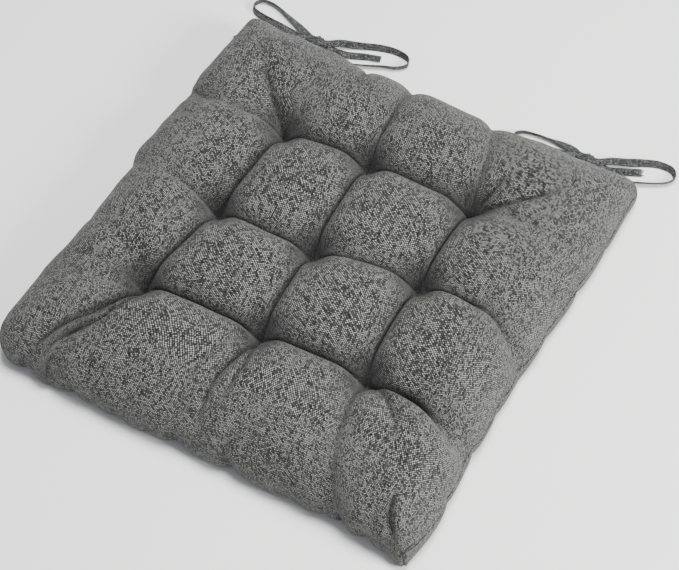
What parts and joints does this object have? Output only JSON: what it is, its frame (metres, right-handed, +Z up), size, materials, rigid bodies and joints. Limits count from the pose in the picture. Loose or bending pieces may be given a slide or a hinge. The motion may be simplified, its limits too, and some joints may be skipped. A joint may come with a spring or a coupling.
{
  "type": "chair seat pad",
  "caption": "Square tufted chair seat pad in grey heather woven cloth, with fabric ties knotted in bows at the back corners.",
  "frame": {"origin": "centre of the pad's footprint, on the surface that its underside lies on", "axes": "+Z up through the pad's thickness, +Y towards the back edge where the ties are, +X to the right seen from the front"},
  "size_m": [0.4846, 0.4864, 0.0699],
  "materials": {
    "cover_cloth": "heathered plain weave with slubs, matt",
    "filling": "loose polyester fibre",
    "tie_cloth": "cover cloth folded and stitched flat",
    "thread": "dark grey polyester thread"
  },
  "bodies": {
    "pad": {"corner_stitching_back_left": "thread", "corner_stitching_back_right": "thread", "corner_stitching_front_left": "thread", "corner_stitching_front_right": "thread", "cover_bottom_panel": "cover_cloth", "cover_top_panel": "cover_cloth", "fibre_filling": "filling", "perimeter_seam_thread": "thread", "tie_bar_tack_left_inner": "thread", "tie_bar_tack_left_outer": "thread", "tie_bar_tack_right_inner": "thread", "tie_bar_tack_right_outer": "thread", "tuft_tack_back_centre": "thread", "tuft_tack_back_left": "thread", "tuft_tack_back_right": "thread", "tuft_tack_front_centre": "thread", "tuft_tack_front_left": "thread", "tuft_tack_front_right": "thread", "tuft_tack_middle_centre": "thread", "tuft_tack_middle_left": "thread", "tuft_tack_middle_right": "thread"},
    "bow_left": {"tie_left_outer": "tie_cloth", "tie_left_inner": "tie_cloth", "bow_knot_left": "tie_cloth"},
    "bow_right": {"tie_right_outer": "tie_cloth", "tie_right_inner": "tie_cloth", "bow_knot_right": "tie_cloth"}
  },
  "joints": [
    {"name": "bow_left_swing", "type": "hinge", "parent": "pad", "child": "bow_left", "pos_m": [-0.155, 0.2176, 0.022], "axis": [1, 0, 0], "range_deg": [0, 90]},
    {"name": "bow_right_swing", "type": "hinge", "parent": "pad", "child": "bow_right", "pos_m": [0.154, 0.2176, 0.022], "axis": [1, 0, 0], "range_deg": [0, 90]}
  ]
}
